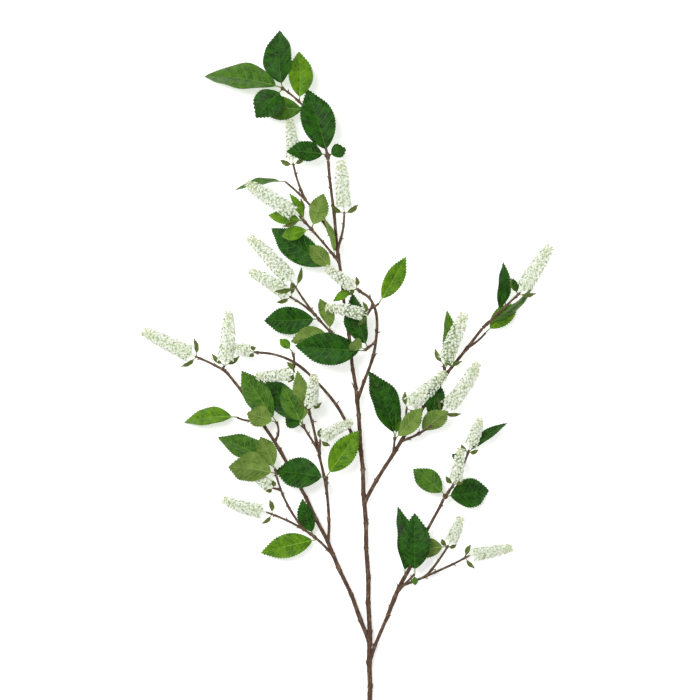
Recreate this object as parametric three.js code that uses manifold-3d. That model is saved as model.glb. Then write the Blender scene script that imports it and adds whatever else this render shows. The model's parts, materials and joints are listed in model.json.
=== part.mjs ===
// A cut artificial sweetspire spray, lying on a table: a wired main stem that runs on as a leader,
// six boughs, leafy sprigs and white flower spikes. Millimetres, +Z up, +Y from the cut foot to the
// crown. Headings are in degrees: 0 points up the spray (+Y) and 90 points right (+X).

import * as THREE from 'three';
import { mergeVertices } from 'three/addons/utils/BufferGeometryUtils.js';
import Module from 'manifold-3d';

const SEED = 20;
const GAP = 0.3;
const LIMB_SIDES = 8;
const LIMB_RINGS = 9;
const TWIG_SIDES = 4;
const TWIG_RINGS = 4;
const TWIG_RADIUS = 1.35;
const TWIG_TAPER = 0.75;

// Arch and its spread are in degrees. Shoulder moves the broadest part, and fullness rounds it.
const LEAF_SIDES = 4;
const LEAF_THICKNESS = 1.5;
const LEAF_FOLD = 0.24;
const LEAF_ARCH = 26;
const LEAF_ARCH_SPREAD = 14;
const LEAF_SHOULDER = 0.86;
const LEAF_FULLNESS = 0.85;
const LEAF_TIP = 0.2;
const LEAF_STATIONS = [0, 0.14, 0.38, 0.68, 1];
const PETIOLE_LENGTH = 8;
const PETIOLE_SHARE = 0.2;
const PETIOLE_RADIUS = 0.8;

// The bracts at the foot of a spike. Spread and roll are in degrees, and share is of the spike.
const BRACT_STATIONS = [0, 0.4, 1];
const BRACT_WIDTH = 10;
const BRACT_SPREAD = 61;
const BRACT_SPREAD_MORE = 12;
const BRACT_SHARE = 0.36;
const BRACT_ROLL = 50;
const BRACT_PITCH = 0.3;
const BRACT_PLACE = 0.93;

// A spike of the usual length has the usual radius, and the others are a little slimmer or fuller.
const SPIKE_SIDES = 8;
const SPIKE_WHORLS = 3;
const SPIKE_RADIUS = 10.5;
const SPIKE_USUAL_LENGTH = 70;
const SPIKE_SLIMMEST = 0.84;
const SPIKE_FULLEST = 1.04;
const SPIKE_STALK = 4;
const SPIKE_STALK_RADIUS = 0.9;
const SPIKE_SLENDER = 0.15;
const SPIKE_TIP_TAPER = 0.42;
const WHORL_CROWN = { part: 0.3, share: 1 };
const WHORL_WAIST = { part: 0.8, share: 0.8 };

// The stem and its boughs. on and at name the limb that carries it, and say how far along that it
// starts. tip is the far end in millimetres from the cut foot, with its height above the table
// last. pull says how far along the limb it is drawn sideways, and by how much.
const LIMBS = {
  main_stem: { foot: [0, 0, 3.4], tip: [-20, 525, 30], pull: [0.5, 14], radii: [3.4, 2.5] },
  leader: { on: 'main_stem', at: 1, tip: [-62, 870, 46], pull: [0.45, -4], radii: [2.3, 1.7] },
  hook_bough: { on: 'main_stem', at: 0.97, tip: [-14, 672, 66], pull: [0.85, 54], radii: [2.1, 1.4] },
  left_bough: { on: 'main_stem', at: 0.275, tip: [-216, 553, 30], pull: [0.6, 34], radii: [2.9, 1.7] },
  inner_bough: { on: 'left_bough', at: 0.31, tip: [-90, 490, 40], pull: [0.2, 18], radii: [1.9, 1.4] },
  arching_bough: { on: 'main_stem', at: 0.82, tip: [-166, 581, 38], pull: [0.7, 60], radii: [2.1, 1.3] },
  right_bough: { on: 'main_stem', at: 0.676, tip: [170, 618, 34], pull: [0.5, -14], radii: [2.6, 1.7] },
  low_right_bough: { on: 'main_stem', at: 0.215, tip: [112, 362, 28], pull: [0.3, -10], radii: [2.4, 1.7] },
};

// The sprigs, each a twig with any side twigs. on names the limb, or counts the sprig's own twigs.
// A leaf is: place along its twig, heading, length, width, pitch, roll.
// A spike is: name, heading, length, pitch.
const SPRIGS = {
  crown_sprig: [
    {
      on: 'leader', at: 1, tip: [-133, 978, 50], pull: [0.5, 30],
      leaves: [
        [0.06, -15, 104, 50, 10, 8], [0.05, -80, 62, 34, 18, 26], [0.04, 64, 30, 22, 6, -20],
        [0.62, -85, 86, 36, -16, -20], [0.74, 3, 78, 37, 4, 16], [1, -72, 130, 56, -14.6, 40],
        [0.98, -9, 92, 49, 2, -25], [0.97, -134, 60, 44, 16, 10],
      ],
    },
  ],
  high_sprig: [
    { on: 'leader', at: 0.61, tip: [-127, 838, 40], pull: [0.4, 22], leaves: [[1, -88, 78, 26, -4, 66]] },
    { on: 0, at: 0.74, tip: [-115, 867, 31], pull: [0.5, -4], spike: ['crown_spike', -5, 60, 2] },
  ],
  upper_left_sprig: [
    {
      on: 'leader', at: 0.58, tip: [-106, 786, 62], pull: [0.5, 2],
      leaves: [
        [0.84, -20, 50, 15, 20, 40], [0.7, 22, 60, 28, 12, 170], [0.86, -76, 66, 20, -20, 10],
        [0.7, -102, 54, 20, -15, 0], [0.12, -6, 66, 20, 12, 120],
      ],
      spike: ['upper_left_spike', -58, 86, 2],
    },
  ],
  upper_right_sprig: [
    {
      on: 'leader', at: 0.64, tip: [-38, 793, 50], pull: [0.5, 6],
      spike: ['upper_right_spike', -3, 70, 2],
    },
  ],
  neck_sprig: [
    {
      on: 'leader', at: 0.5, tip: [-58, 708, 50], pull: [0.5, 0],
      leaves: [[1, -59, 122, 43, -8.7, -10], [0.8, -42, 62, 24, 24, 175]],
    },
  ],
  twin_spike_sprig: [
    {
      on: 'leader', at: 0.19, tip: [-115, 686, 52], pull: [0.5, -12],
      leaves: [[0.5, -93, 92, 41, -14, -6], [0.3, -10, 62, 24, 22, 150], [0.3, -102, 62, 30, -3, 170]],
      spike: ['long_twin_spike', -44, 90, 6],
    },
    { on: 0, at: 0.55, tip: [-121, 666, 38], pull: [0.5, 3], spike: ['short_twin_spike', -58, 66, -6] },
  ],
  hook_leaf_sprig: [
    {
      on: 'hook_bough', at: 0.38, tip: [-8, 584, 60], pull: [0.5, 0],
      leaves: [[1, -88, 106, 47, 6.5, -8], [0.9, -62, 38, 21, 34, 170], [0.7, -24, 88, 43, -3, -38]],
    },
  ],
  hook_tip_sprig: [
    {
      on: 'hook_bough', at: 1, tip: [-20, 677, 70], pull: [0.5, 0],
      leaves: [[0.8, -110, 42, 14, -4, 30]],
      spike: ['hook_tip_spike', -55, 50, 8],
    },
  ],
  hook_side_sprig: [
    {
      on: 'hook_bough', at: 0.76, tip: [-4, 636, 78], pull: [0.5, 0],
      spike: ['hook_side_spike', -79, 58, 4],
    },
    { on: 0, at: 0.3, tip: [14, 655, 64], pull: [0.5, 2], leaves: [[1, 33, 82, 27, 4, 12]] },
  ],
  arch_tip_sprig: [
    {
      on: 'arching_bough', at: 1, tip: [-174, 582, 37], pull: [0.5, 0],
      spike: ['arch_tip_spike', -80, 29, 0],
    },
  ],
  arch_side_sprig: [
    {
      on: 'arching_bough', at: 0.68, tip: [-112, 551, 62], pull: [0.5, 4],
      spike: ['arch_side_spike', -94, 52, 2],
    },
    { on: 0, at: 0.4, tip: [-116, 583, 54], pull: [0.5, 4], leaves: [[1, -40, 27, 14, 0, 20]] },
  ],
  inner_leaf_sprig: [
    {
      on: 'inner_bough', at: 0.8, tip: [-101, 474, 50], pull: [0.5, 0],
      leaves: [
        [0.95, -27, 68, 30, 6, 0], [1, -39, 98, 38, -14, 0], [0.9, -64, 36, 22, -18, 0],
        [0.97, 0, 86, 26, 2, 160],
      ],
    },
  ],
  inner_tip_sprig: [
    {
      on: 'inner_bough', at: 1, tip: [-90, 498, 62], pull: [0.5, 0],
      spike: ['inner_tip_spike', 8, 58, 36],
    },
  ],
  inner_side_sprig: [
    {
      on: 'inner_bough', at: 0.78, tip: [-74, 452, 44], pull: [0.5, 0],
      spike: ['inner_side_spike', 62, 50, 6],
    },
  ],
  inner_pair_sprig: [
    {
      on: 'inner_bough', at: 0.52, tip: [-64, 396, 46], pull: [0.5, 0],
      leaves: [[0.9, -79, 82, 46, -2, 16], [1, 35, 84, 36, 8, 0]],
    },
  ],
  far_left_sprig: [
    {
      on: 'left_bough', at: 0.78, tip: [-200, 484, 22], pull: [0.5, -9],
      leaves: [[1, -87, 85, 36, -5.5, 42]],
    },
  ],
  left_pair_sprig: [
    {
      on: 'left_bough', at: 0.68, tip: [-140, 478, 44], pull: [0.5, 10],
      leaves: [[1, -36, 96, 39, -4, -6], [0.95, -70, 50, 32, 12, 172]],
    },
  ],
  low_left_sprig: [
    {
      on: 'left_bough', at: 0.25, tip: [-157, 341, 18], pull: [0.4, 22],
      leaves: [[0.42, -22, 60, 28, 16, -30], [0.36, -101, 89, 35, 7.2, 14]],
      spike: ['low_left_spike', -74, 62, -3],
    },
    {
      on: 0, at: 0.55, tip: [-142, 408, 38], pull: [0.5, -14],
      leaves: [[1, -54, 106, 48, -12.8, 44], [0.97, -21, 64, 26, 14, 175], [0.92, -76, 76, 50, 10, 152]],
    },
    { on: 1, at: 0.68, tip: [-146, 377, 24], pull: [0.5, 0], spike: ['hidden_spike', -52, 34, -10] },
  ],
  left_tip_sprig: [
    {
      on: 'left_bough', at: 1, tip: [-264, 576, 18], pull: [0.5, 2],
      spike: ['left_tip_spike', -64, 82, -3],
    },
    { on: 0, at: 0.12, tip: [-217, 562, 38], pull: [0.5, 0], spike: ['left_fork_spike', 4, 76, 4] },
  ],
  right_low_sprig: [
    {
      on: 'right_bough', at: 0.27, tip: [38, 455, 46], pull: [0.5, 0],
      leaves: [[1, -13.5, 107, 50, 14, 40], [0.85, 44, 70, 26, 14, 165], [0.95, 16, 44, 15, 10, 50]],
    },
  ],
  right_fork_sprig: [
    {
      on: 'right_bough', at: 0.34, tip: [113, 495, 40], pull: [0.5, 14],
      leaves: [[0.35, 47, 62, 30, 16, -160], [0.62, 11, 74, 29, 10.5, 20]],
      spike: ['right_fork_spike', 35, 82, -6],
    },
  ],
  right_inner_sprig: [
    {
      on: 'right_bough', at: 0.42, tip: [56, 500, 48], pull: [0.5, -6],
      spike: ['right_inner_spike', 48, 72, 3],
    },
  ],
  right_mid_sprig: [
    {
      on: 'right_bough', at: 0.72, tip: [111, 564, 52], pull: [0.5, -2],
      leaves: [[0.3, 11, 96, 32, -4, 48]],
      spike: ['right_mid_spike', 22, 78, 8],
    },
  ],
  right_tip_sprig: [
    {
      on: 'right_bough', at: 1, tip: [227, 672, 36], pull: [0.5, 0],
      leaves: [[0.4, 16, 80, 26, 4, 40], [0.92, -12, 26, 11, 10, 30], [0.1, 63, 94, 26, -8, 66]],
      spike: ['right_tip_spike', 33, 78, -6],
    },
  ],
  right_side_sprig: [
    {
      on: 'right_bough', at: 0.88, tip: [176, 612, 20], pull: [0.5, 4],
      leaves: [[1, 46, 68, 27, -1.7, -8]],
    },
  ],
  low_right_back_sprig: [
    {
      on: 'low_right_bough', at: 0.37, tip: [53, 246, 20], pull: [0.5, -4],
      leaves: [[1, 5.5, 106, 40, 0.2, 44]],
    },
  ],
  low_right_front_sprig: [
    {
      on: 'low_right_bough', at: 0.53, tip: [68, 249, 40], pull: [0.5, 0],
      leaves: [[1, 0, 92, 46, 10, 0], [0.98, 176, 18, 9, -8, 0]],
    },
  ],
  low_right_fork_sprig: [
    {
      on: 'low_right_bough', at: 0.555, tip: [152, 275, 14], pull: [0.5, 4],
      spike: ['low_right_spike', 80, 60, -2],
    },
    {
      on: 0, at: 0.36, tip: [119, 292, 30], pull: [0.5, 3],
      leaves: [[0.95, -94, 52, 30, -8, 160]],
      spike: ['low_fork_spike', 23, 42, 14],
    },
  ],
  low_right_tip_sprig: [
    {
      on: 'low_right_bough', at: 1, tip: [150, 436, 26], pull: [0.5, 8],
      leaves: [
        [0.06, -49, 68, 33, -10, 10], [0.04, 82, 74, 43, -6.5, -6], [0.92, 43, 78, 20, -4, -50],
        [0.7, -40, 28, 11, -20, 20],
      ],
      spike: ['low_tip_spike', 19, 46, 18],
    },
    {
      on: 0, at: 0.12, tip: [127, 384, 46], pull: [0.5, 0],
      spike: ['low_inner_spike', 10, 50, 6],
    },
  ],
};

const BARK = { color: 0x6b4a38, roughness: 0.8 };
const LEAF = { color: 0x2f6b1f, roughness: 0.5 };
const PETAL = { color: 0xe4eedb, roughness: 0.7 };

const wasm = await Module();
wasm.setup();

const UP = new THREE.Vector3(0, 0, 1);
let randomState = SEED;

// A repeatable random number between 0 and 1.
function random() {
  randomState = (randomState + 0x6d2b79f5) | 0;
  let mixed = Math.imul(randomState ^ (randomState >>> 15), 1 | randomState);
  mixed = (mixed + Math.imul(mixed ^ (mixed >>> 7), 61 | mixed)) ^ mixed;
  return ((mixed ^ (mixed >>> 14)) >>> 0) / 4294967296;
}

function radians(degrees) {
  return THREE.MathUtils.degToRad(degrees);
}

function direction(heading, pitch) {
  const flat = Math.cos(radians(pitch));
  const turn = radians(heading);
  return new THREE.Vector3(flat * Math.sin(turn), flat * Math.cos(turn), Math.sin(radians(pitch)));
}

// The normal nearest to straight up, and the side that makes a right-handed set with it.
function frameOf(tangent) {
  const normal = UP.clone().addScaledVector(tangent, -tangent.dot(UP)).normalize();
  return { normal, side: new THREE.Vector3().crossVectors(tangent, normal) };
}

// A curve from foot to tip, drawn to the right by out millimetres part of the way along.
function limbCurve(foot, tip, [where, out]) {
  const right = new THREE.Vector3(tip.y - foot.y, foot.x - tip.x, 0).normalize();
  const control = foot.clone().lerp(tip, where).addScaledVector(right, out);
  return new THREE.QuadraticBezierCurve3(foot, control, tip);
}

// Moves every vertex of a geometry that was made along +Y to where place puts it.
function wrap(geometry, place) {
  const positions = geometry.attributes.position;
  const vertex = new THREE.Vector3();
  for (let i = 0; i < positions.count; i += 1) {
    vertex.fromBufferAttribute(positions, i);
    const moved = place(vertex);
    positions.setXYZ(i, moved.x, moved.y, moved.z);
  }
  return geometry;
}

// A tapering limb along a curve, grown all round by a margin. A grown limb also runs past its ends.
function limbGeometry(curve, radii, sides, rings, margin = 0) {
  const pastEnd = { 0: -margin, 1: margin };
  return wrap(new THREE.CylinderGeometry(1, 1, 1, sides, rings), (vertex) => {
    const along = vertex.y + 0.5;
    const tangent = curve.getTangent(along);
    const { normal, side } = frameOf(tangent);
    const radius = THREE.MathUtils.lerp(radii[0], radii[1], along) + margin;
    return curve.getPoint(along)
      .addScaledVector(tangent, pastEnd[along] ?? 0)
      .addScaledVector(side, vertex.x * radius)
      .addScaledVector(normal, vertex.z * radius);
  });
}

// How broad a blade is along its length, as a share of its broadest: full low down, then drawn out.
function bladeShape(along) {
  return Math.sin(Math.PI * along ** LEAF_SHOULDER) ** LEAF_FULLNESS;
}

// One leaf from its root: a stalk that opens into an arched blade, folded along its rib.
function leafGeometry(root, [, heading, length, width, pitch, roll], outline = LEAF_STATIONS) {
  const arch = radians(LEAF_ARCH + LEAF_ARCH_SPREAD * (random() - 0.5));
  const start = direction(heading, pitch);
  const { normal, side } = frameOf(start);
  normal.applyAxisAngle(start, radians(roll));
  side.applyAxisAngle(start, radians(roll));
  const stalk = Math.min(PETIOLE_LENGTH / length, PETIOLE_SHARE);
  const stations = [0, ...outline.map((share) => stalk + share * (1 - stalk))];
  const rings = stations.length - 1;
  return wrap(new THREE.CylinderGeometry(1, 1, 1, LEAF_SIDES, rings), (vertex) => {
    const along = stations[Math.round((vertex.y + 0.5) * rings)];
    const blade = (along - stalk) / (1 - stalk);
    const half = blade <= 0 ? PETIOLE_RADIUS : Math.max(width * 0.5 * bladeShape(blade), LEAF_TIP);
    const thick = THREE.MathUtils.lerp(LEAF_THICKNESS * 0.5, LEAF_TIP, Math.max(blade, 0) ** 3);
    const bent = arch * along;
    const lift = vertex.z * thick + LEAF_FOLD * Math.abs(vertex.x) * (half - PETIOLE_RADIUS);
    const outward = normal.clone().multiplyScalar(Math.cos(bent)).addScaledVector(start, Math.sin(bent));
    return root.clone()
      .addScaledVector(start, (length * Math.sin(bent)) / arch)
      .addScaledVector(normal, (-length * (1 - Math.cos(bent))) / arch)
      .addScaledVector(side, vertex.x * half)
      .addScaledVector(outward, lift);
  });
}

// A flower spike: a thin stalk under whorls of small blossoms that narrow towards the tip.
function spikeGeometry(foot, heading, length, pitch) {
  const grown = THREE.MathUtils.clamp(length / SPIKE_USUAL_LENGTH, SPIKE_SLIMMEST, SPIKE_FULLEST);
  const body = length - SPIKE_STALK;
  const profile = [new THREE.Vector2(0, 0), new THREE.Vector2(SPIKE_STALK_RADIUS, 0)];
  profile.push(new THREE.Vector2(SPIKE_STALK_RADIUS, SPIKE_STALK));
  for (let whorl = 0; whorl < SPIKE_WHORLS; whorl += 1) {
    for (const { part, share } of [WHORL_CROWN, WHORL_WAIST]) {
      const along = (whorl + part) / SPIKE_WHORLS;
      const swell = 1 - SPIKE_SLENDER * along - SPIKE_TIP_TAPER * along ** 4;
      const radius = SPIKE_RADIUS * grown * swell * share;
      profile.push(new THREE.Vector2(radius, SPIKE_STALK + body * along));
    }
  }
  profile.push(new THREE.Vector2(0, length));
  const axis = direction(heading, pitch);
  const { normal, side } = frameOf(axis);
  return wrap(new THREE.LatheGeometry(profile, SPIKE_SIDES), (vertex) => foot.clone()
    .addScaledVector(side, vertex.x)
    .addScaledVector(axis, vertex.y)
    .addScaledVector(normal, vertex.z));
}

function toSolid(geometry) {
  const bare = geometry.clone();
  bare.deleteAttribute('normal');
  bare.deleteAttribute('uv');
  const merged = mergeVertices(bare);
  const vertProperties = new Float32Array(merged.attributes.position.array);
  const triVerts = new Uint32Array(merged.index.array);
  return new wasm.Manifold(new wasm.Mesh({ numProp: 3, vertProperties, triVerts }));
}

function toGeometry(solid) {
  const { vertProperties, triVerts } = solid.getMesh();
  const geometry = new THREE.BufferGeometry();
  geometry.setAttribute('position', new THREE.BufferAttribute(new Float32Array(vertProperties), 3));
  geometry.setIndex(new THREE.BufferAttribute(new Uint32Array(triVerts), 1));
  geometry.computeVertexNormals();
  return geometry;
}

// A cut can free a scrap of a limb's hidden end, so only the largest piece is kept.
function largestPiece(solid) {
  const pieces = solid.decompose();
  return pieces.reduce((best, piece) => (piece.volume() > best.volume() ? piece : best));
}

function addMesh(group, name, geometry, finish) {
  const mesh = new THREE.Mesh(geometry, new THREE.MeshStandardMaterial({ ...finish, metalness: 0 }));
  mesh.name = name;
  group.add(mesh);
}

// A limb's foot starts on its carrier's axis and is cut back to stand just clear of its bark.
function growLimbs(group) {
  const limbs = {};
  for (const [name, { foot, on, at, tip, pull, radii }] of Object.entries(LIMBS)) {
    const start = on ? limbs[on].curve.getPoint(at) : new THREE.Vector3(...foot);
    const curve = limbCurve(start, new THREE.Vector3(...tip), pull);
    const whole = toSolid(limbGeometry(curve, radii, LIMB_SIDES, LIMB_RINGS));
    const grown = toSolid(limbGeometry(curve, radii, LIMB_SIDES, LIMB_RINGS, GAP));
    const solid = on ? largestPiece(whole.subtract(limbs[on].grown)) : whole;
    limbs[name] = { curve, grown };
    addMesh(group, name, toGeometry(solid), BARK);
  }
  return limbs;
}

// Two small bracts that stand away from the foot of a spike, one on each side.
function bractsFor([, heading, length, pitch]) {
  return [-1, 1].map((hand) => {
    const turned = heading + hand * (BRACT_SPREAD + BRACT_SPREAD_MORE * random());
    const roll = hand * BRACT_ROLL;
    return [BRACT_PLACE, turned, length * BRACT_SHARE, BRACT_WIDTH, pitch * BRACT_PITCH, roll];
  });
}

// A spike stands just clear of the end of its twig, by more where it turns away from it.
function addSpike(group, curve, [name, heading, length, pitch]) {
  const axis = direction(heading, pitch);
  const turned = new THREE.Vector3().crossVectors(curve.getTangent(1), axis).length();
  const foot = curve.getPoint(1).addScaledVector(axis, GAP + TWIG_RADIUS * turned);
  addMesh(group, name, spikeGeometry(foot, heading, length, pitch), PETAL);
}

// A sprig is its twigs and leaves fused, with the foot cut back from the limb that carries it.
function growSprigs(group, limbs) {
  for (const [name, twigs] of Object.entries(SPRIGS)) {
    const curves = [];
    const carriers = [];
    let solid = null;
    for (const { on, at, tip, pull, leaves = [], spike } of twigs) {
      const carrier = limbs[on];
      const foot = (carrier ? carrier.curve : curves[on]).getPoint(at);
      const curve = limbCurve(foot, new THREE.Vector3(...tip), pull);
      curves.push(curve);
      if (carrier) carriers.push(carrier.grown);
      const radii = [TWIG_RADIUS, TWIG_RADIUS * TWIG_TAPER];
      const pieces = [toSolid(limbGeometry(curve, radii, TWIG_SIDES, TWIG_RINGS))];
      for (const leaf of leaves) pieces.push(toSolid(leafGeometry(curve.getPoint(leaf[0]), leaf)));
      for (const bract of spike ? bractsFor(spike) : []) {
        pieces.push(toSolid(leafGeometry(curve.getPoint(bract[0]), bract, BRACT_STATIONS)));
      }
      solid = pieces.reduce((whole, piece) => (whole ? whole.add(piece) : piece), solid);
      if (spike) addSpike(group, curve, spike);
    }
    const cut = carriers.reduce((whole, carrier) => whole.subtract(carrier), solid);
    addMesh(group, name, toGeometry(largestPiece(cut)), LEAF);
  }
}

// The spray is set with the middle of its outline over the origin and its lowest leaf on the table.
const spray = new THREE.Group();
growSprigs(spray, growLimbs(spray));
const box = new THREE.Box3().setFromObject(spray);
const middle = box.getCenter(new THREE.Vector3());
spray.position.set(-middle.x, -middle.y, -box.min.z);

export default spray;
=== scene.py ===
"""An artificial sweetspire spray, lying on a pale floor and seen from straight above.

The limbs, twigs, leaves and spikes grow by the tables and the rule of the part's source, in
millimetres from the cut foot, and are carried on to bark, toothed and veined leaves and blossoms.
"""

import json
import math
import random
from functools import cache
from typing import NamedTuple

import bpy
import numpy as np
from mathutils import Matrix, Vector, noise

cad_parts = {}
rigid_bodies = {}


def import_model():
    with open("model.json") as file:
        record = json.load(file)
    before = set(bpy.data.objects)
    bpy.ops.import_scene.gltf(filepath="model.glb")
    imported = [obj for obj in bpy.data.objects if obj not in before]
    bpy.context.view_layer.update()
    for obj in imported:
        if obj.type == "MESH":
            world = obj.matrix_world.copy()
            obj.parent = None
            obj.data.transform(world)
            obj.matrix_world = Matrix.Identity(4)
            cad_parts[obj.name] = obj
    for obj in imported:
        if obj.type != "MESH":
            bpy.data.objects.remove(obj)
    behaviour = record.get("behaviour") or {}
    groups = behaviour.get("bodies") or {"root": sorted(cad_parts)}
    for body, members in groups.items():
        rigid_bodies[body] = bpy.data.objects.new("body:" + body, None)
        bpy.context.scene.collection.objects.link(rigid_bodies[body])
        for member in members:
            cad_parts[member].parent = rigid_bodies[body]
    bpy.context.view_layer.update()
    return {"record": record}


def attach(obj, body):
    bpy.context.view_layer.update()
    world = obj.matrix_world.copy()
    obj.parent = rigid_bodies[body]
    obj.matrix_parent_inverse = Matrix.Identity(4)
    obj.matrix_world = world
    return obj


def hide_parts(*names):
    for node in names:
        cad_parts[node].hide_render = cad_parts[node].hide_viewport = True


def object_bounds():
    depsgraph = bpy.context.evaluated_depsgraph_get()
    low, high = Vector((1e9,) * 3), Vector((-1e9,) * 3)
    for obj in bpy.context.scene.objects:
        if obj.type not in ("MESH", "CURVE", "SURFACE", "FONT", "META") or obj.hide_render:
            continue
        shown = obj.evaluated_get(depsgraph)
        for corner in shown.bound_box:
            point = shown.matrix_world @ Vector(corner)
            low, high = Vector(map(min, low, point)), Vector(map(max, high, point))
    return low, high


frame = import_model()

# Lengths are in millimetres and angles in degrees, unless a name says otherwise.
MM = 0.001
UP = np.array([0.0, 0.0, 1.0])
EAST = np.array([1.0, 0.0, 0.0])
STEM_FOOT = np.array([0, 0, 3.4])
FOOT_MOUNT = next(m for m in frame["record"]["mounts"] if m["name"] == "foot_cut")
SHIFT = np.array(FOOT_MOUNT["pos_m"]) - STEM_FOOT * MM

# The source's sizes.
SEED = 20
GAP = 0.3
TWIG_RADIUS = 1.35
TWIG_TAPER = 0.75
LEAF_FOLD = 0.24
LEAF_ARCH = 26
LEAF_ARCH_SPREAD = 14
LEAF_SHOULDER = 0.86
LEAF_FULLNESS = 0.85
LEAF_TIP = 0.2
PETIOLE_LENGTH = 8
PETIOLE_SHARE = 0.2
PETIOLE_RADIUS = 0.8
BRACT_WIDTH = 10
BRACT_SPREAD = 61
BRACT_SPREAD_MORE = 12
BRACT_SHARE = 0.36
BRACT_ROLL = 50
BRACT_PITCH = 0.3
BRACT_PLACE = 0.93
SPIKE_RADIUS = 10.5
SPIKE_USUAL_LENGTH = 70
SPIKE_SLIMMEST = 0.84
SPIKE_FULLEST = 1.04
SPIKE_STALK = 4
SPIKE_SLENDER = 0.15
SPIKE_TIP_TAPER = 0.42


class Limb(NamedTuple):
    """The stem or a bough: the limb that carries it and the place along that, its tip, where and
    how far it is drawn sideways, and the radii of its foot and tip."""

    on: str
    at: float
    tip: tuple
    pull: tuple
    radii: tuple


class Twig(NamedTuple):
    """A twig of a sprig. A limb carries it, or a twig of the same sprig by its number. A spike is:
    name, heading, length, pitch. A leaf is: place along the twig, heading, length, width, pitch,
    roll, and its tint here."""

    on: object
    at: float
    tip: tuple
    pull: tuple
    spike: tuple
    leaves: tuple = ()


# The same limbs and sprigs as in the source.
LIMBS = {
    "main_stem": Limb(None, 0, (-20, 525, 30), (0.5, 14), (3.4, 2.5)),
    "leader": Limb("main_stem", 1, (-62, 870, 46), (0.45, -4), (2.3, 1.7)),
    "hook_bough": Limb("main_stem", 0.97, (-14, 672, 66), (0.85, 54), (2.1, 1.4)),
    "left_bough": Limb("main_stem", 0.275, (-216, 553, 30), (0.6, 34), (2.9, 1.7)),
    "inner_bough": Limb("left_bough", 0.31, (-90, 490, 40), (0.2, 18), (1.9, 1.4)),
    "arching_bough": Limb("main_stem", 0.82, (-166, 581, 38), (0.7, 60), (2.1, 1.3)),
    "right_bough": Limb("main_stem", 0.676, (170, 618, 34), (0.5, -14), (2.6, 1.7)),
    "low_right_bough": Limb("main_stem", 0.215, (112, 362, 28), (0.3, -10), (2.4, 1.7)),
}

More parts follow.
